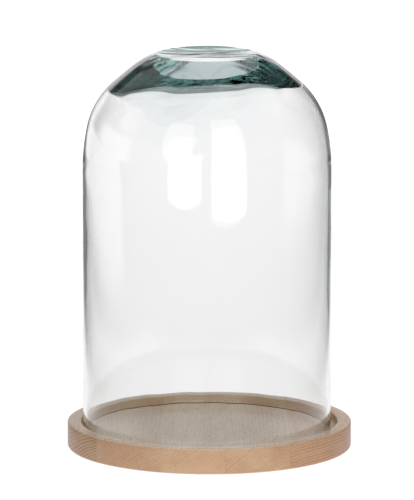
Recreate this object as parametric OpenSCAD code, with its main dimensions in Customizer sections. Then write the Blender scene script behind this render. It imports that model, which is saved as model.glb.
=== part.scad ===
// Bell jar: a thick-crowned glass dome that stands in the turned recess of a
// round, edge-glued beech base. Millimetres, +Z up, origin under the base's
// centre on the surface that it stands on.

/* [Base] */
// Outer diameter of the wooden base
base_d = 320; // [300:5:340]
// Thickness of the base board
base_t = 29; // [24:1:34]
// Diameter of the turned recess that the dome stands in
recess_d = 289; // [288:0.5:292]
// Depth of the recess
recess_depth = 9; // [5:0.5:12]
// Radius of the round along the bottom edge
bottom_round = 3; // [1:0.5:5]
// Radius of the eased edges at the top of the rim
rim_ease = 1.6; // [0.5:0.1:3]
// Radius of the cove where the recess wall meets its floor
recess_cove = 1.2; // [0.5:0.1:2]
// Width of one beech stave
stave_w = 72; // [66:1:76]
// Distance of one glue line from the centre line
glue_line_x = 18; // [10:1:26]

/* [Feet] */
// Diameter of a felt pad
pad_d = 28; // [18:1:36]
// Thickness of a felt pad
pad_t = 2; // [1:0.5:4]
// Distance of each pad's centre from the centre of the base
pad_reach = 122; // [90:1:130]

/* [Dome] */
// Outer diameter of the glass
dome_d = 280; // [270:1:281]
// Height of the glass from its foot to the rim of its flat top
dome_h = 428; // [380:1:480]
// Thickness of the cylindrical wall
wall_t = 4; // [3:0.5:6]
// Thickness of the solid glass in the middle of the crown
crown_t = 13; // [10:1:22]
// Dish of the flat top, from its rim to its middle
top_dish = 1.6; // [0:0.2:3]
// Sideways rest position of the loose dome in its recess
dome_shift = -2.6; // [-3:0.1:3]

/* [Hidden] */

stave_count = 5;
pad_count = 4;
arc_sag = 0.02;         // how far a chord may lie inside its arc
overlap = 1;            // how far a cutting shape runs past what it cuts

base_r = base_d / 2;
recess_r = recess_d / 2;
base_top_z = pad_t + base_t;
recess_floor_z = base_top_z - recess_depth;

dome_r = dome_d / 2;
bore_r = dome_r - wall_t;
lip_r = 0.4 * wall_t;   // fire-polished round on both edges of the foot

// The outside of the crown as arcs, each [radius, slope of the normal at its end].
// The normal starts level on the wall and ends straight up on the flat top.
crown_arcs = [[240, 12], [89, 48.5], [700, 51], [86, 70.5], [9, 90]];
// The inside of the crown, up to where the one wide arc of the ceiling takes over.
ceiling_arcs = [[236, 12], [78, 54], [110, 64]];

// Points along an arc that turns the normal from a0 to a1, its centre at [cx, cz]
function arc(cx, cz, r, a0, a1) =
    let (steps = max(2, ceil(abs(a1 - a0) / (2 * acos(1 - arc_sag / r)))))
    [for (i = [0 : steps])
        let (a = a0 + (a1 - a0) * i / steps)
        [cx + r * cos(a), cz + r * sin(a)]];

// Points of a run of tangent arcs that starts at [x, z] with the normal at a0
function arc_run(arcs, x, z, a0, k = 0) =
    k >= len(arcs) ? [] :
    let (
        r = arcs[k][0],
        cx = x - r * cos(a0),
        cz = z - r * sin(a0),
        pts = arc(cx, cz, r, a0, arcs[k][1]),
        end = pts[len(pts) - 1]
    )
    concat(k == 0 ? pts : [for (i = [1 : len(pts) - 1]) pts[i]],
        arc_run(arcs, end[0], end[1], arcs[k][1], k + 1));

// Rise of a run of arcs, from its first point to its last
function rise(pts) = pts[len(pts) - 1][1] - pts[0][1];

// Outside of the dome, above its foot at z = 0
crown_shape = arc_run(crown_arcs, dome_r, 0, 0);
crown_start_z = dome_h - rise(crown_shape);
top_rim = crown_shape[len(crown_shape) - 1];

// Inside of the dome: the shoulder arcs, then one arc that closes on the axis
shoulder_shape = arc_run(ceiling_arcs, bore_r, 0, 0);
shoulder_end = shoulder_shape[len(shoulder_shape) - 1];
ceiling_slope = ceiling_arcs[len(ceiling_arcs) - 1][1];
ceiling_r = shoulder_end[0] / cos(ceiling_slope);
ceiling_rise = ceiling_r * (1 - sin(ceiling_slope));
ceiling_z = dome_h - top_dish - crown_t;
shoulder_z = ceiling_z - ceiling_rise - shoulder_end[1];

// Dish of the top as one shallow arc from the axis to the rim of the flat
dish_r = (pow(top_rim[0], 2) + pow(top_dish, 2)) / (2 * max(top_dish, 0.01));
dish_slope = asin(top_rim[0] / dish_r);
dish_steps = 6;
top_dish_shape = [for (i = [0 : dish_steps])
    let (a = dish_slope * (1 - i / dish_steps))
    [dish_r * sin(a), dome_h - top_dish + dish_r * (1 - cos(a))]];

function lifted(pts, dz) = [for (p = pts) [p[0], p[1] + dz]];
function reversed(pts) = [for (i = [len(pts) - 1 : -1 : 0]) pts[i]];
function without_ends(pts) = [for (i = [1 : len(pts) - 2]) pts[i]];

// Half section of the glass, from the inside of the foot round the outside
dome_section = concat(
    arc(bore_r + lip_r, lip_r, lip_r, 180, 270),
    arc(dome_r - lip_r, lip_r, lip_r, -90, 0),
    lifted(crown_shape, crown_start_z),
    [for (i = [1 : dish_steps]) top_dish_shape[i]],
    arc(0, ceiling_z - ceiling_r, ceiling_r, 90, ceiling_slope),
    without_ends(reversed(lifted(shoulder_shape, shoulder_z))),
    [[bore_r, shoulder_z]]
);

// Half section of the whole wooden base, from the axis round the outside
base_section = concat(
    [[0, pad_t]],
    arc(base_r - bottom_round, pad_t + bottom_round, bottom_round, -90, 0),
    arc(base_r - rim_ease, base_top_z - rim_ease, rim_ease, 0, 90),
    arc(recess_r + rim_ease, base_top_z - rim_ease, rim_ease, 90, 180),
    arc(recess_r - recess_cove, recess_floor_z + recess_cove, recess_cove, 0, -90),
    [[0, recess_floor_z]]
);

// Glue line on the left of stave i, and on its right. The outer two run past the rim.
function stave_left(i) = i == 1 ? -base_r - overlap : glue_line_x + (i - 4) * stave_w;
function stave_right(i) = i == stave_count ? base_r + overlap : stave_left(i + 1);

// Blown glass dome with a thick solid crown, open at its foot
module glass_dome() {
    color([0.80, 0.88, 0.87, 0.35])
        translate([dome_shift, 0, recess_floor_z])
            rotate_extrude($fn = 180)
                polygon(dome_section);
}

// The turned base as one shape, before it is divided at its glue lines
module turned_base() {
    rotate_extrude($fn = 180)
        polygon(base_section);
}

// One beech stave of the base, its grain running from front to back
module base_stave(i) {
    color(i % 2 == 0 ? [0.80, 0.66, 0.53] : [0.77, 0.62, 0.49])
        intersection() {
            turned_base();
            translate([stave_left(i), -base_r - overlap, 0])
                cube([stave_right(i) - stave_left(i), base_d + 2 * overlap, base_top_z + overlap]);
        }
}

// One round felt pad under the base
module felt_pad(i) {
    color([0.36, 0.34, 0.32])
        rotate([0, 0, (i - 0.5) * 360 / pad_count])
            translate([pad_reach, 0, 0])
                cylinder(d = pad_d, h = pad_t, $fn = 64);
}

glass_dome();
base_stave(1);  // base_stave_1
base_stave(2);  // base_stave_2
base_stave(3);  // base_stave_3
base_stave(4);  // base_stave_4
base_stave(5);  // base_stave_5
felt_pad(1);  // felt_pad_1
felt_pad(2);  // felt_pad_2
felt_pad(3);  // felt_pad_3
felt_pad(4);  // felt_pad_4
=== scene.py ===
import math

import bmesh
import bpy
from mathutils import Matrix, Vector, noise


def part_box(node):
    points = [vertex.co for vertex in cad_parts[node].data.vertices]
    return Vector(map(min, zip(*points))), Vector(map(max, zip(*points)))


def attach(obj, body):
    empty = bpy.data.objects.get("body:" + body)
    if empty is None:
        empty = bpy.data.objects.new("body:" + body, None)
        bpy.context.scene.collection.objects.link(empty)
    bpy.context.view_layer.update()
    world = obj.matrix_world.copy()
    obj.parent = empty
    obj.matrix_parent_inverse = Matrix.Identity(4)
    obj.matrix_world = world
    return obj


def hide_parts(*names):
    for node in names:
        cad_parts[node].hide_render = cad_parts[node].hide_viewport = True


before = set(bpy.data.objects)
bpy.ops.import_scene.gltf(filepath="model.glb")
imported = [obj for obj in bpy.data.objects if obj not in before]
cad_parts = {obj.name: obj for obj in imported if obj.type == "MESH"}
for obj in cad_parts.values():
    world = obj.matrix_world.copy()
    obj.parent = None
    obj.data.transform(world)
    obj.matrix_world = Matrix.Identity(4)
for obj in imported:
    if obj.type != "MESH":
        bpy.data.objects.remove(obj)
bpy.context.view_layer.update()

MM = 0.001
DEG = math.pi / 180

# ---------------------------------------------------------------- sizes
GLASS_LOW, GLASS_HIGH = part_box("glass_dome")
STAVE_BOXES = {f"base_stave_{i}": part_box(f"base_stave_{i}") for i in range(1, 6)}
PAD_BOXES = {f"felt_pad_{i}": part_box(f"felt_pad_{i}") for i in range(1, 5)}

DOME_X = (GLASS_LOW.x + GLASS_HIGH.x) / 2     # the loose dome rests a little to the left
DOME_R = (GLASS_HIGH.y - GLASS_LOW.y) / 2
FOOT_Z = GLASS_LOW.z
TOP_Z = GLASS_HIGH.z
BASE_R = STAVE_BOXES["base_stave_5"][1].x
BASE_LOW_Z = STAVE_BOXES["base_stave_3"][0].z
BASE_TOP_Z = STAVE_BOXES["base_stave_3"][1].z

WALL = 4.0 * MM
LEAST_WALL = 3.7 * MM           # the inside keeps at least this far from the outside
LIP_ROUND = 1.95 * MM
TOP_DISH = 1.6 * MM
CROWN_T = 9.0 * MM              # glass on the axis in the front section
FLANK_T = 16 * MM               # glass on the axis in the side section
RECESS_R = 144.5 * MM
RIM_EASE = 1.6 * MM
BOTTOM_ROUND = 3.0 * MM
RECESS_COVE = 1.2 * MM
GLUE_EASE = 0.18 * MM           # bevel along a glue line

# Outlines of the crown from the wall up, as tangent arcs: each its radius and the slope of
# its normal, in degrees, where it ends
OUTER_ARCS = [(240 * MM, 12), (89 * MM, 48.5), (700 * MM, 51), (86 * MM, 70.5), (9 * MM, 90)]
INNER_ARCS = [(236 * MM, 8), (95 * MM, 70), (300 * MM, 80)]      # front section
FLANK_ARCS = [(236 * MM, 8), (65 * MM, 75)]                      # side section
FLANK_FROM = 0.15               # squared cosine of the bearing where the side section sets in
FLANK_TO = 0.75                 # and where it is reached
FLANK_RADII = (0.015, 0.07)     # radii between which it sets in

# Unevenness of the blown glass
TILT_Y = -0.02                  # slope of the ceiling from front to back
SKEW = 3.0 * MM                 # wave of the ceiling from side to side
SKEW_TURN = 0.038               # metres in which that wave turns by a radian
LUMP = 1.6 * MM                 # lumps of the ceiling
SAG = 0.7 * MM                  # broad dips of the top
RIPPLE = 0.8 * MM               # narrow dips of the top, drawn out from side to side
WAVE_IN = 0.45 * MM             # waves of the wall's inside
WAVE_OUT = 0.12 * MM            # waves of the wall's outside
CEILING_HEIGHTS = (0.33, 0.42)  # heights between which the wall gives way to the ceiling

# Fineness of the meshes
DOME_AROUND = 300
BASE_AROUND = 360
PAD_AROUND = 96
WALL_STEP = 9 * MM
TOP_STEPS = 22


# ---------------------------------------------------------------- small helpers
def smooth(low, high, value):
    """0 below low, 1 above high, with an easy turn between."""
    t = min(max((value - low) / (high - low), 0.0), 1.0)
    return t * t * (3 - 2 * t)


def arc(cx, cz, r, a0, a1, steps):
    """Points on an arc whose normal turns from a0 to a1 degrees."""
    turn = [(a0 + (a1 - a0) * i / steps) * DEG for i in range(steps + 1)]
    return [(cx + r * math.cos(a), cz + r * math.sin(a)) for a in turn]


def arc_run(arcs, x, z, degrees_per_step=1.5):
    """Points along tangent arcs, each (radius, slope of the normal at its end)."""
    points, a0 = [(x, z)], 0.0
    for r, a1 in arcs:
        steps = max(4, round((a1 - a0) / degrees_per_step))
        cx, cz = x - r * math.cos(a0 * DEG), z - r * math.sin(a0 * DEG)
        points += arc(cx, cz, r, a0, a1, steps)[1:]
        (x, z), a0 = points[-1], a1
    return points


def lifted(points, dz):
    return [(x, z + dz) for x, z in points]


def column(x, z0, z1, step):
    """Points up a straight wall, its two ends left out."""
    n = max(2, round(abs(z1 - z0) / step))
    return [(x, z0 + (z1 - z0) * i / n) for i in range(1, n)]


def bridge(bm, rings):
    """Faces between each ring of vertices and the next. A ring of one vertex is on the axis."""
    for low, high in zip(rings, rings[1:]):
        around = max(len(low), len(high))
        for k in range(around):
            j = (k + 1) % around
            if len(low) == 1:
                bm.faces.new((low[0], high[k], high[j]))
            elif len(high) == 1:
                bm.faces.new((low[k], high[0], low[j]))
            else:
                bm.faces.new((low[k], high[k], high[j], low[j]))


def new_object(name, bm):
    mesh = bpy.data.meshes.new(name)
    bm.normal_update()
    bm.to_mesh(mesh)
    bm.free()
    obj = bpy.data.objects.new(name, mesh)
    bpy.context.scene.collection.objects.link(obj)
    return obj


# ---------------------------------------------------------------- glass dome
OUTSIDE = arc_run(OUTER_ARCS, DOME_R, 0.0)      # outline of the crown, upwards
OUTSIDE = lifted(OUTSIDE, TOP_Z - OUTSIDE[-1][1])


def hollow_profile(arcs, crown):
    """The inside of the glass, a point every degree of slope, from the vertical bore up to
    the middle of the ceiling; a last arc closes it level on the axis."""
    points, a0 = [(DOME_R - WALL, 0.0)], 0
    for r, a1 in arcs + [(None, 90)]:
        x, z = points[-1]
        r = r or x / math.cos(a0 * DEG)
        cx, cz = x - r * math.cos(a0 * DEG), z - r * math.sin(a0 * DEG)
        points += arc(cx, cz, r, a0, a1, a1 - a0)[1:]
        a0 = a1
    return lifted(points, TOP_Z - TOP_DISH - crown - points[-1][1])


def dome_section():
    """Half section of the glass, from the middle of the ceiling down the inside, round the foot
    and up to the middle of the top. Each point is its radius and height in the front section,
    the same in the side section, and "in" or "out"."""
    top_r = OUTSIDE[-1][0]
    parts = [1 - i / TOP_STEPS for i in range(1, TOP_STEPS + 1)]
    top = [(top_r * part, TOP_Z - TOP_DISH * (1 - part ** 2)) for part in parts]

    bore = DOME_R - WALL
    front = hollow_profile(INNER_ARCS, CROWN_T)[::-1]
    flank = hollow_profile(FLANK_ARCS, FLANK_T)[::-1]

    lip_in = arc(bore + LIP_ROUND, FOOT_Z + LIP_ROUND, LIP_ROUND, 180, 270, 6)
    lip_out = arc(DOME_R - LIP_ROUND, FOOT_Z + LIP_ROUND, LIP_ROUND, -90, 0, 6)
    low = min(front[-1][1], flank[-1][1])
    inner = column(bore, low, lip_in[0][1], WALL_STEP) + lip_in
    outer = lip_out + column(DOME_R, lip_out[-1][1], OUTSIDE[0][1], WALL_STEP) + OUTSIDE + top
    hollow = [(x, z, u, w, "in") for (x, z), (u, w) in zip(front, flank)]
    inner = [(x, z, x, z, "in") for x, z in inner]
    outer = [(x, z, x, z, "out") for x, z in outer]
    return hollow + inner + outer


def outside_radius(z):
    """Radius of the outer surface at height z, from the arcs of its crown."""
    for (x0, z0), (x1, z1) in zip(OUTSIDE, OUTSIDE[1:]):
        if z0 <= z <= z1 and z1 > z0:
            return x0 + (x1 - x0) * (z - z0) / (z1 - z0)
    return OUTSIDE[0][0] if z < OUTSIDE[0][1] else OUTSIDE[-1][0]


def blown(x, z, u, w, side, angle):
    """Radius and height at this bearing, on the uneven glass, of a section point: (x, z) in the
    front section and (u, w) in the side section."""
    c, s = math.cos(angle), math.sin(angle)
    to_flank = smooth(FLANK_FROM, FLANK_TO, c * c) * smooth(*FLANK_RADII, x)
    x, z = x + (u - x) * to_flank, z + (w - z) * to_flank

    # waves all over the wall, fading out at the foot
    away_from_foot = smooth(FOOT_Z + 2 * MM, FOOT_Z + 40 * MM, z)
    seed = 3.1 if side == "in" else 11.7
    p = Vector((c * 2.4 + seed, s * 2.4, z * 9.0))
    wave = noise.noise(p) * 0.5 + noise.noise(p * 2.7) * 0.22
    radial = wave * (WAVE_IN if side == "in" else WAVE_OUT) * away_from_foot

    # outside: never beyond the plain outline, with dips in the top
    if side == "out":
        radial = -abs(radial)
        crown = smooth(TOP_Z - 30 * MM, TOP_Z - 3 * MM, z) * smooth(0.0, 8 * MM, x)
        sag = noise.noise(Vector((x * c * 16, x * s * 16, 5.0))) * SAG
        sag += noise.noise(Vector((x * c * 18, x * s * 70, 9.0))) * RIPPLE
        return x + radial, z - abs(sag) * crown

    # inside: the ceiling tilts and is lumpy, and the wall keeps its least thickness
    ceiling = smooth(*CEILING_HEIGHTS, z)
    tilt = (TILT_Y * x * s + SKEW * math.sin(x * c / SKEW_TURN)) * ceiling
    lump = noise.noise(Vector((x * c * 11, x * s * 11, 2.0))) * LUMP * ceiling
    x, z = x + radial * (1 - ceiling), z + tilt + lump
    return min(x, outside_radius(z) - LEAST_WALL), z


def build_dome():
    bm = bmesh.new()
    rings = []
    for x, z, u, w, side in dome_section():
        if x < 1e-6:
            _, mz = blown(0.0, z, 0.0, w, side, 0.0)
            rings.append([bm.verts.new((DOME_X, 0.0, mz))])
            continue
        ring = []
        for k in range(DOME_AROUND):
            a = 2 * math.pi * k / DOME_AROUND
            mx, mz = blown(x, z, u, w, side, a)
            ring.append(bm.verts.new((DOME_X + mx * math.cos(a), mx * math.sin(a), mz)))
        rings.append(ring)
    bridge(bm, rings)
    bmesh.ops.recalc_face_normals(bm, faces=bm.faces)
    for f in bm.faces:
        f.smooth = True
    dome = new_object("dome_blown_glass", bm)
    dome.data.materials.append(glass_material())
    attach(dome, "dome")
    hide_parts("glass_dome")


# ---------------------------------------------------------------- materials
def nodes_of(name):
    material = bpy.data.materials.new(name)
    material.use_nodes = True
    tree = material.node_tree
    tree.nodes.clear()
    return material, tree


def chain(tree, kind, *inputs, **settings):
    """A node of this kind with its settings, each input a socket, a number or None."""
    node = tree.nodes.new(kind)
    for key, value in settings.items():
        setattr(node, key, value)
    for socket, value in zip(node.inputs, inputs):
        if isinstance(value, bpy.types.NodeSocket):
            tree.links.new(value, socket)
        elif value is not None:
            socket.default_value = value
    return node


def maths(tree, operation, *inputs):
    return chain(tree, "ShaderNodeMath", *inputs, operation=operation).outputs[0]


def step(tree, value, low, high, out_low=0.0, out_high=1.0):
    """Eased step of a value from low to high."""
    return chain(tree, "ShaderNodeMapRange", value, low, high, out_low, out_high,
                 interpolation_type="SMOOTHSTEP").outputs["Result"]


def noise_at(tree, where, stretch, scale, detail=3.0, rough=0.5):
    """Noise of a position stretched by three factors."""
    moved = chain(tree, "ShaderNodeVectorMath", where, stretch, operation="MULTIPLY").outputs[0]
    node = tree.nodes.new("ShaderNodeTexNoise")
    tree.links.new(moved, node.inputs["Vector"])
    node.inputs["Scale"].default_value = scale
    node.inputs["Detail"].default_value = detail
    node.inputs["Roughness"].default_value = rough
    return node.outputs["Fac"]


def blend(tree, factor, first, second, kind="MIX"):
    """Mix of two colours, each a socket or a colour."""
    node = tree.nodes.new("ShaderNodeMix")
    node.data_type = "RGBA"
    node.blend_type = kind
    for name, value in (("Factor", factor), ("A", first), ("B", second)):
        socket = next(i for i in node.inputs if i.name == name and i.enabled)
        if isinstance(value, bpy.types.NodeSocket):
            tree.links.new(value, socket)
        else:
            socket.default_value = value
    return next(o for o in node.outputs if o.enabled)


def finish_surface(tree, bsdf, relief, strength, distance):
    """Bump the surface by a relief and make it the material's."""
    bump = tree.nodes.new("ShaderNodeBump")
    bump.inputs["Strength"].default_value = strength
    bump.inputs["Distance"].default_value = distance
    tree.links.new(relief, bump.inputs["Height"])
    tree.links.new(bump.outputs[0], bsdf.inputs["Normal"])
    out = tree.nodes.new("ShaderNodeOutputMaterial")
    tree.links.new(bsdf.outputs[0], out.inputs["Surface"])


GLASS_IOR = 1.52
GLASS_TINT = (0.15, 0.47, 0.45, 1)
GLASS_DENSITY = 14.5                    # of the tint, per metre of glass
GLASS_PASS = (0.985, 0.99, 0.988, 1)    # what shadow and diffuse rays keep


def glass_material():
    """Clear blown glass. It is a solid, so its tint comes from the length of the path through
    it: nearly none in the wall, blue-green where the crown is thick. Shadow and diffuse rays
    go straight through."""
    material, tree = nodes_of("dome_glass")
    glass = tree.nodes.new("ShaderNodeBsdfGlass")
    glass.inputs["Color"].default_value = (1, 1, 1, 1)
    glass.inputs["Roughness"].default_value = 0.0
    glass.inputs["IOR"].default_value = GLASS_IOR
    clear = tree.nodes.new("ShaderNodeBsdfTransparent")
    clear.inputs["Color"].default_value = GLASS_PASS
    path = tree.nodes.new("ShaderNodeLightPath").outputs
    straight = maths(tree, "MAXIMUM", path["Is Shadow Ray"], path["Is Diffuse Ray"])
    mix = chain(tree, "ShaderNodeMixShader", straight, glass.outputs[0], clear.outputs[0])
    tint = tree.nodes.new("ShaderNodeVolumeAbsorption")
    tint.inputs["Color"].default_value = GLASS_TINT
    tint.inputs["Density"].default_value = GLASS_DENSITY
    out = tree.nodes.new("ShaderNodeOutputMaterial")
    tree.links.new(mix.outputs[0], out.inputs["Surface"])
    tree.links.new(tint.outputs[0], out.inputs["Volume"])
    return material


PALE = (0.768, 0.540, 0.360, 1)
LATE = (0.330, 0.165, 0.075, 1)         # late wood of a ring
PINK = (0.720, 0.448, 0.302, 1)
STRAW = (0.830, 0.632, 0.424, 1)
FLECK = (0.330, 0.185, 0.100, 1)        # rays
END = (0.670, 0.570, 0.450, 1)          # darkens the end grain
# painted sheen: a pale grey-beige that stands in for the lacquer's reflection of the bright studio
PAINTED_SHEEN = (0.900, 0.800, 0.700, 1)       # lightens the flat faces
BEND = 9.0 * MM                         # how far the rings stray from true circles
FINE_BEND = 0.9 * MM


def beech_material(name, pith, ring, contrast, tone_and_end_shade, seed):
    """Lacquered beech with its grain along Y. Growth rings are cylinders round the pith, so
    they show as arcs on the ends and as long lines on the faces."""
    material, tree = nodes_of(name)
    place = tree.nodes.new("ShaderNodeTexCoord").outputs["Object"]
    place = chain(tree, "ShaderNodeVectorMath", place, (0.0, seed, 0.0),
                  operation="ADD").outputs[0]

    # distance from the pith, bent a little, counted in years
    bend = noise_at(tree, place, (1.0, 0.12, 1.0), 22.0, 2.0)
    fine_bend = noise_at(tree, place, (1.0, 0.10, 1.0), 140.0, 2.0)
    split = chain(tree, "ShaderNodeSeparateXYZ", place)
    dx = maths(tree, "SUBTRACT", split.outputs["X"], pith[0] * MM)
    dz = maths(tree, "SUBTRACT", split.outputs["Z"], pith[1] * MM)
    dx_squared = maths(tree, "POWER", maths(tree, "ABSOLUTE", dx), 2.0)
    dz_squared = maths(tree, "POWER", maths(tree, "ABSOLUTE", dz), 2.0)
    away = maths(tree, "SQRT", maths(tree, "ADD", dx_squared, dz_squared))
    away = maths(tree, "MULTIPLY_ADD", bend, BEND, away)
    away = maths(tree, "MULTIPLY_ADD", fine_bend, FINE_BEND, away)
    year = maths(tree, "DIVIDE", away, ring * MM)

    # late wood ends each year, stronger in some years and places
    within = maths(tree, "FRACT", year)
    late = maths(tree, "MULTIPLY", step(tree, within, 0.25, 0.86), step(tree, within, 1.0, 0.90))
    number = chain(tree, "ShaderNodeCombineXYZ", maths(tree, "FLOOR", year)).outputs[0]
    each_year = noise_at(tree, number, (1.0, 1.0, 1.0), 0.73, 0.0)
    strength = maths(tree, "MULTIPLY", step(tree, each_year, 0.25, 0.75, 0.35, 1.0), contrast)
    patches = noise_at(tree, place, (1.0, 0.3, 1.0), 30.0, 2.0)
    patchy = step(tree, patches, 0.3, 0.7, 0.45, 1.0)
    rings = maths(tree, "MULTIPLY", late, maths(tree, "MULTIPLY", strength, patchy))

    # the turned edge shows the rings in full, the flat faces a quarter as strongly
    facing = tree.nodes.new("ShaderNodeTexCoord").outputs["Normal"]
    facing = chain(tree, "ShaderNodeSeparateXYZ", facing)
    flat = maths(tree, "ABSOLUTE", facing.outputs["Z"])
    end_grain = step(tree, flat, 0.9, 0.4)
    rings = maths(tree, "MULTIPLY", rings, maths(tree, "MULTIPLY_ADD", end_grain, 0.75, 0.25))

    # colour: mottled body, painted sheen on the flat faces, rings, rays and fibres
    mottle = step(tree, noise_at(tree, place, (1.0, 0.22, 1.4), 34.0, 3.0), 0.35, 0.68)
    base = blend(tree, mottle, PINK, STRAW)
    base = blend(tree, 0.45, base, PALE)
    # painted sheen: the flat faces are blended 40% towards a pale grey-beige in place of reflected
    # light
    base = blend(tree, step(tree, end_grain, 1.0, 0.0, 0.0, 0.4), base, PAINTED_SHEEN)
    base = blend(tree, maths(tree, "MULTIPLY", end_grain, 0.5), base, END, "MULTIPLY")
    base = blend(tree, rings, base, LATE)
    spots = noise_at(tree, place, (1.0, 0.16, 1.0), 620.0, 1.0, 0.4)
    flecks = step(tree, spots, 0.64, 0.72, 0.0, 0.55)
    base = blend(tree, flecks, base, FLECK)
    fibre = noise_at(tree, place, (1.0, 0.05, 1.0), 900.0, 2.0)
    base = blend(tree, step(tree, fibre, 0.3, 0.7, 0.0, 0.16), base, LATE)
    # the stave's tone: colour from board to board, and painted shade darkening the outer staves
    toned_and_shaded = blend(tree, 1.0, base, tone_and_end_shade, "MULTIPLY")

    # lacquer over slightly raised grain
    bsdf = tree.nodes.new("ShaderNodeBsdfPrincipled")
    bsdf.inputs["Coat Weight"].default_value = 0.5
    bsdf.inputs["Coat Roughness"].default_value = 0.20
    bsdf.inputs["IOR"].default_value = 1.5
    tree.links.new(toned_and_shaded, bsdf.inputs["Base Color"])
    rough = maths(tree, "MULTIPLY_ADD", rings, 0.10, step(tree, fibre, 0.2, 0.8, 0.36, 0.50))
    tree.links.new(rough, bsdf.inputs["Roughness"])
    relief = maths(tree, "MULTIPLY_ADD", rings, 0.5, fibre)
    relief = maths(tree, "MULTIPLY_ADD", flecks, -0.6, relief)
    finish_surface(tree, bsdf, relief, 0.35, 0.12 * MM)
    return material


FELT_DARK = (0.030, 0.028, 0.026, 1)
FELT_LIGHT = (0.095, 0.088, 0.080, 1)
FELT_CLUMP = (0.060, 0.052, 0.045, 1)


def felt_material():
    """Dark grey pressed wool: matted fibres with a soft sheen."""
    material, tree = nodes_of("felt")
    place = tree.nodes.new("ShaderNodeTexCoord").outputs["Object"]
    mat = noise_at(tree, place, (1.0, 1.0, 1.0), 900.0, 6.0, 0.7)
    clump = noise_at(tree, place, (1.0, 1.0, 1.0), 160.0, 3.0, 0.6)
    strands = noise_at(tree, place, (1.0, 0.2, 1.0), 1900.0, 2.0, 0.6)
    grey = blend(tree, step(tree, mat, 0.3, 0.7), FELT_DARK, FELT_LIGHT)
    grey = blend(tree, step(tree, clump, 0.35, 0.65, 0.0, 0.5), grey, FELT_CLUMP)
    bsdf = tree.nodes.new("ShaderNodeBsdfPrincipled")
    tree.links.new(grey, bsdf.inputs["Base Color"])
    tree.links.new(step(tree, mat, 0.2, 0.8, 0.88, 1.0), bsdf.inputs["Roughness"])
    bsdf.inputs["Sheen Weight"].default_value = 0.5
    bsdf.inputs["Sheen Roughness"].default_value = 0.6
    finish_surface(tree, bsdf, maths(tree, "ADD", mat, strands), 0.8, 0.3 * MM)
    return material


# ---------------------------------------------------------------- wooden base
def base_section():
    """Half section of the turned base, from the axis under it round to the recess floor."""
    section = [(0.0, BASE_LOW_Z)]
    section += [(r, BASE_LOW_Z) for r in (0.05, 0.10, 0.14)]
    section += arc(BASE_R - BOTTOM_ROUND, BASE_LOW_Z + BOTTOM_ROUND, BOTTOM_ROUND, -90, 0, 6)
    section += arc(BASE_R - RIM_EASE, BASE_TOP_Z - RIM_EASE, RIM_EASE, 0, 90, 5)
    section += arc(RECESS_R + RIM_EASE, BASE_TOP_Z - RIM_EASE, RIM_EASE, 90, 180, 5)
    section += arc(RECESS_R - RECESS_COVE, FOOT_Z + RECESS_COVE, RECESS_COVE, 0, -90, 4)
    section += [(r, FOOT_Z) for r in (0.10, 0.05)] + [(0.0, FOOT_Z)]
    return section


# Each stave's pith in mm across and up, ring spacing in mm, ring contrast, tone and shift
# along the grain. The tone varies by board and is painted shade too: the end staves are darker.
BEECH = [
    ((-70, -66), 3.0, 1.00, (0.92, 0.87, 0.80, 1), 0.31),
    ((-20, -90), 2.6, 0.60, (0.98, 0.95, 0.91, 1), 0.87),
    ((60, -120), 2.6, 0.42, (1.02, 1.00, 0.96, 1), 1.43),
    ((128, -100), 2.4, 1.00, (1.03, 1.00, 0.96, 1), 2.09),
    ((130, -150), 3.4, 0.90, (0.97, 0.86, 0.78, 1), 2.71),
]


def lathe(bm, section, around):
    """Faces of a section of (radius, height) turned once round the Z axis."""
    rings = []
    turn = [2 * math.pi * k / around for k in range(around)]
    for r, z in section:
        if r < 1e-9:
            rings.append([bm.verts.new((0.0, 0.0, z))])
        else:
            rings.append([bm.verts.new((r * math.cos(a), r * math.sin(a), z)) for a in turn])
    bridge(bm, rings)


def cut_flat(bm, x, side):
    """Cut everything beyond x away, close the cut and ease its edge."""
    everything = bm.verts[:] + bm.edges[:] + bm.faces[:]
    cut = bmesh.ops.bisect_plane(bm, geom=everything, dist=1e-7, plane_co=(x, 0, 0),
                                 plane_no=(side, 0, 0), clear_outer=True)
    rim = [v for v in cut["geom_cut"] if isinstance(v, bmesh.types.BMVert)]
    bmesh.ops.remove_doubles(bm, verts=rim, dist=0.1 * MM)
    edges = [e for e in bm.edges if e.is_boundary]
    bmesh.ops.contextual_create(bm, geom=edges)
    bmesh.ops.bevel(bm, geom=edges, offset=GLUE_EASE, segments=1, affect="EDGES",
                    clamp_overlap=True)
    cap = max((f for f in bm.faces if f.normal.x * side > 0.999), key=lambda f: f.calc_area())
    outline = cap.edges[:]
    bmesh.ops.delete(bm, geom=[cap], context="FACES_ONLY")
    bmesh.ops.triangle_fill(bm, edges=outline, use_beauty=True, normal=(side, 0, 0))


def build_staves():
    section = base_section()
    for i, (node, (low, high)) in enumerate(STAVE_BOXES.items()):
        bm = bmesh.new()
        lathe(bm, section, BASE_AROUND)
        for x, side in ((low.x, -1), (high.x, 1)):
            if abs(x) < BASE_R - 1 * MM:        # the rim itself is not a cut
                cut_flat(bm, x, side)
        bmesh.ops.recalc_face_normals(bm, faces=bm.faces)
        stave = new_object(f"beech_stave_{i + 1}", bm)
        stave.data.shade_smooth()
        stave.data.set_sharp_from_angle(angle=30 * DEG)
        stave.data.materials.append(beech_material(f"beech_{i + 1}", *BEECH[i]))
        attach(stave, "base")
        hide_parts(node)


# ---------------------------------------------------------------- felt pads
PAD_EASE = 0.5 * MM
FUZZ_SIDE = 0.25 * MM           # how far the fuzz draws the side in
FUZZ_UNDER = 0.06 * MM          # and lifts the underside


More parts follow.
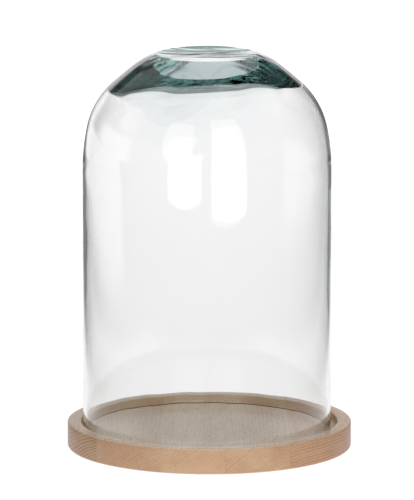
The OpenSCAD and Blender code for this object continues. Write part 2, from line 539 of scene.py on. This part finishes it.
def build_pads():
    felt = felt_material()
    for i, (node, (low, high)) in enumerate(PAD_BOXES.items()):
        centre, r, t = (low + high) / 2, (high.x - low.x) / 2, high.z - low.z
        section = [(0.0, low.z)] + [(r * k / 12, low.z) for k in range(1, 12)]
        section += arc(r - PAD_EASE, low.z + PAD_EASE, PAD_EASE, -90, 0, 4)
        section += [(r, low.z + t * 0.5)]
        top_ease = PAD_EASE * 0.4
        section += arc(r - top_ease, high.z - top_ease, top_ease, 0, 90, 2)
        section += [(r * k / 6, high.z) for k in range(5, 0, -1)] + [(0.0, high.z)]
        bm = bmesh.new()
        lathe(bm, section, PAD_AROUND)
        bmesh.ops.recalc_face_normals(bm, faces=bm.faces)
        for v in bm.verts:
            fuzz = noise.noise(v.co * 900 + Vector((i * 7.0, 0, 0))) * 0.5 + 0.5
            inward = Vector((-v.co.x, -v.co.y, 0.0))
            if v.co.xy.length > r * 0.9:
                v.co += inward.normalized() * fuzz * FUZZ_SIDE
            if v.co.z < low.z + t * 0.4:
                v.co.z += fuzz * FUZZ_UNDER
            v.co += Vector((centre.x, centre.y, 0.0))
        pad = new_object(f"felt_disc_{i + 1}", bm)
        pad.data.shade_smooth()
        pad.data.materials.append(felt)
        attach(pad, "base")
        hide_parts(node)


# ---------------------------------------------------------------- studio
VIEW_DISTANCE = 9.0
VIEW_ELEVATION = 10.7 * DEG
VIEW_HEIGHT = 562.6 * MM        # height of the object's plane that the picture covers
VIEW_TARGET = Vector((-2.6 * MM, 0.0, 226.1 * MM))
SENSOR_WIDTH = 36.0

WHITE = (1.05, 1.00, 1.01)
MAUVE = (1.0, 0.965, 0.985)     # tint of the darker parts of the sky

# Brightness of the sky from the horizon (0) up to the zenith (1)
SKY_THROUGH = [(0.00, 1.08), (0.24, 1.02), (0.285, 0.17), (0.50, 0.34), (0.95, 0.5)]
SKY_MIRRORED = [(0.18, 1.08), (0.22, 0.25), (0.3, 0.3), (0.5, 0.85), (0.9, 0.85)]

# What the glass mirrors: a lit sweep behind the object and at the left, in a dim room
SWEEP_HALF = 0.3                # half width of the sweep
SWEEP_EDGE = 0.2                # width of its soft edge
SWEEP_FRONT = -0.1              # where it starts, from front to back
SWEEP_SHIFT = 0.15              # its shift to the left in the sky
SWEEP_LEVEL = 0.95
ROOM_LEVEL = 0.16
FLOOR_LEFT = (-0.9, -1.4)       # places across between which the left of the floor turns lit
SKY_LEFT = (-0.6, -0.75)        # the same for the sky

# What lights the wood: two places across and the level at each, for either side
FLOOR_DIMMED = ((-0.45, -0.10, 0.15, 0.75), (0.40, 0.10, 0.45, 1.0))
SKY_DIMMED = ((-0.95, -0.10, 0.10, 1.0), (1.0, 0.3, 0.6, 1.0))
AMBIENT_LEVELS = (0.40, 0.62)   # at the horizon and overhead

FLOOR_RADIUS = 60.0
FLOOR_PAINT = (0.10, 0.10, 0.10, 1)
FLOOR_GLOW = (0.3, 2.4, 0.98, 1.08)     # two distances from the object and the glow at each

PANELS = 8                      # light panels round the sky, with darker gaps
PANEL_TURN = 4.0                # degrees
PANEL_HALF = 18.0               # degrees
PANEL_EDGE = 1.5                # degrees
PANEL_GAP = 0.22                # brightness of a gap
PANEL_HEIGHTS = (0.20, 0.30)    # heights of the sky between which they set in

LIGHT_DISTANCE = 1.3
# Each softbox: name, turn to the right and half width in degrees, its lower and upper edge,
# and its radiance
SOFTBOXES = [
    ("softbox_right", 19.6, 15.6, 0.068, 2.0, 1.5),
    ("softbox_left_low", -20.3, 14.8, 0.084, 0.52, 1.5),
    ("softbox_left_high", -27.8, 13.7, 0.52, 1.6, 1.5),
]


def build_camera():
    data = bpy.data.cameras.new("camera")
    data.sensor_width = SENSOR_WIDTH
    data.lens = data.sensor_width * VIEW_DISTANCE / VIEW_HEIGHT
    data.clip_end = 100.0
    camera = bpy.data.objects.new("camera", data)
    back = Vector((0.0, -math.cos(VIEW_ELEVATION), math.sin(VIEW_ELEVATION)))
    camera.location = VIEW_TARGET + back * VIEW_DISTANCE
    camera.rotation_euler = (math.pi / 2 - VIEW_ELEVATION, 0.0, 0.0)
    bpy.context.scene.collection.objects.link(camera)
    bpy.context.scene.camera = camera


def ramp(tree, value, stops):
    """A colour ramp over value from stops of (position, brightness)."""
    node = tree.nodes.new("ShaderNodeValToRGB")
    stop = node.color_ramp.elements
    while len(stop) < len(stops):
        stop.new(0.5)
    for element, (position, _) in zip(stop, stops):
        element.position = position
    for element, (_, level) in zip(stop, stops):
        element.color = [level * part for part in (WHITE if level > 0.9 else MAUVE)] + [1]
    tree.links.new(value, node.inputs[0])
    return node.outputs[0]


def by_place(tree, x, y, left, diffuse, sheen_too):
    """Brightness of the studio at a place x across and y back. Seen straight or through the
    glass it is 1. Mirrored, it is SWEEP_LEVEL on the sweep and at the left, which sets in
    between the two places in left, and ROOM_LEVEL elsewhere. Diffuse rays see the level
    diffuse, and so do rough reflections where sheen_too is 1."""
    path = tree.nodes.new("ShaderNodeLightPath").outputs
    middle = step(tree, maths(tree, "ABSOLUTE", x), SWEEP_HALF + SWEEP_EDGE, SWEEP_HALF)
    behind = step(tree, y, SWEEP_FRONT - SWEEP_EDGE, SWEEP_FRONT)
    lit = maths(tree, "MAXIMUM", middle, step(tree, x, *left))
    sweep = maths(tree, "MULTIPLY", lit, behind)
    room = maths(tree, "MULTIPLY_ADD", sweep, SWEEP_LEVEL - ROOM_LEVEL, ROOM_LEVEL)
    mirrored = maths(tree, "MINIMUM", path["Glossy Depth"], 1.0)
    seen = maths(tree, "MULTIPLY_ADD", mirrored, maths(tree, "SUBTRACT", room, 1.0), 1.0)
    rough = maths(tree, "SUBTRACT", path["Is Glossy Ray"], path["Is Singular Ray"])
    sheen = maths(tree, "MULTIPLY", maths(tree, "GREATER_THAN", rough, 0.5), sheen_too)
    soft = maths(tree, "MAXIMUM", path["Is Diffuse Ray"], sheen)
    away = maths(tree, "SUBTRACT", diffuse, seen)
    return maths(tree, "MULTIPLY_ADD", soft, away, seen)


def dimmed(tree, x, sides):
    """Light that falls off across x towards either side."""
    left, right = sides
    return maths(tree, "MULTIPLY", step(tree, x, *left), step(tree, x, *right))


def build_floor():
    bm = bmesh.new()
    bmesh.ops.create_circle(bm, cap_ends=True, segments=96, radius=FLOOR_RADIUS)
    floor = new_object("studio_floor", bm)
    material, tree = nodes_of("studio_floor")
    place = tree.nodes.new("ShaderNodeTexCoord").outputs["Object"]
    split = chain(tree, "ShaderNodeSeparateXYZ", place).outputs
    apart = chain(tree, "ShaderNodeVectorMath", place, operation="LENGTH").outputs["Value"]
    near = dimmed(tree, split["X"], FLOOR_DIMMED)
    level = by_place(tree, split["X"], split["Y"], FLOOR_LEFT, near, 1.0)
    paint = tree.nodes.new("ShaderNodeBsdfDiffuse")
    paint.inputs["Color"].default_value = FLOOR_PAINT
    glow = tree.nodes.new("ShaderNodeEmission")
    glow.inputs["Color"].default_value = (*WHITE, 1)
    strength = maths(tree, "MULTIPLY", level, step(tree, apart, *FLOOR_GLOW))
    tree.links.new(strength, glow.inputs["Strength"])
    both = chain(tree, "ShaderNodeAddShader", paint.outputs[0], glow.outputs[0])
    out = tree.nodes.new("ShaderNodeOutputMaterial")
    tree.links.new(both.outputs[0], out.inputs["Surface"])
    floor.data.materials.append(material)


def build_world():
    world = bpy.data.worlds.new("studio")
    bpy.context.scene.world = world
    world.use_nodes = True
    tree = world.node_tree
    tree.nodes.clear()
    towards = tree.nodes.new("ShaderNodeTexCoord").outputs["Generated"]
    split = chain(tree, "ShaderNodeSeparateXYZ", towards).outputs
    path = tree.nodes.new("ShaderNodeLightPath").outputs
    sky = blend(tree, path["Glossy Depth"], ramp(tree, split["Z"], SKY_THROUGH),
                ramp(tree, split["Z"], SKY_MIRRORED))

    # panels round the upper sky
    bearing = maths(tree, "ARCTAN2", split["X"], split["Y"])
    turned = maths(tree, "MULTIPLY_ADD", bearing, PANELS, PANELS * PANEL_TURN * DEG)
    outer, inner = (math.cos(PANELS * (PANEL_HALF + edge) * DEG)
                    for edge in (PANEL_EDGE, -PANEL_EDGE))
    panel = step(tree, maths(tree, "COSINE", turned), outer, inner, PANEL_GAP, 1.0)
    shade = tree.nodes.new("ShaderNodeMix")
    shade.data_type = "FLOAT"
    shade.inputs["A"].default_value = 1.0
    tree.links.new(step(tree, split["Z"], *PANEL_HEIGHTS), shade.inputs["Factor"])
    tree.links.new(panel, shade.inputs["B"])

    # the sky as it is seen and mirrored
    across = maths(tree, "ADD", split["X"], SWEEP_SHIFT)
    place = by_place(tree, across, split["Y"], SKY_LEFT, 1.0, 0.0)
    level = maths(tree, "MULTIPLY", shade.outputs["Result"], place)
    seen = chain(tree, "ShaderNodeVectorMath", sky, None, None, level, operation="SCALE")

    # the sky as it lights the wood and the felt
    overhead = step(tree, split["Z"], 0.0, 1.0, *AMBIENT_LEVELS)
    grey = maths(tree, "MULTIPLY", dimmed(tree, split["X"], SKY_DIMMED), overhead)
    ambient = chain(tree, "ShaderNodeCombineXYZ", grey, grey, grey)
    colour = blend(tree, path["Is Diffuse Ray"], seen.outputs[0], ambient.outputs[0])
    background = tree.nodes.new("ShaderNodeBackground")
    out = tree.nodes.new("ShaderNodeOutputWorld")
    tree.links.new(colour, background.inputs["Color"])
    tree.links.new(background.outputs[0], out.inputs["Surface"])


def softbox(name, turn, half_width, z0, z1, radiance):
    """An upright soft light standing LIGHT_DISTANCE away, turn degrees round from the front
    towards the right, and half_width degrees wide each way as the object sees it."""
    data = bpy.data.lights.new(name, "AREA")
    data.shape = "RECTANGLE"
    data.size, data.size_y = 2 * LIGHT_DISTANCE * math.tan(half_width * DEG), z1 - z0
    data.energy = radiance * math.pi * data.size * data.size_y
    light = bpy.data.objects.new(name, data)
    light.location = (LIGHT_DISTANCE * math.sin(turn * DEG), -LIGHT_DISTANCE * math.cos(turn * DEG),
                      (z0 + z1) / 2)
    light.rotation_euler = (math.pi / 2, 0, turn * DEG)
    light.visible_camera = False
    bpy.context.scene.collection.objects.link(light)


def build_lights():
    for box in SOFTBOXES:
        softbox(*box)


build_camera()
build_world()
build_floor()
build_lights()
build_dome()
build_staves()
build_pads()
bpy.context.scene.view_settings.view_transform = "Standard"
cycles = bpy.context.scene.cycles
cycles.max_bounces = 32
cycles.glossy_bounces = 24
cycles.transmission_bounces = 24
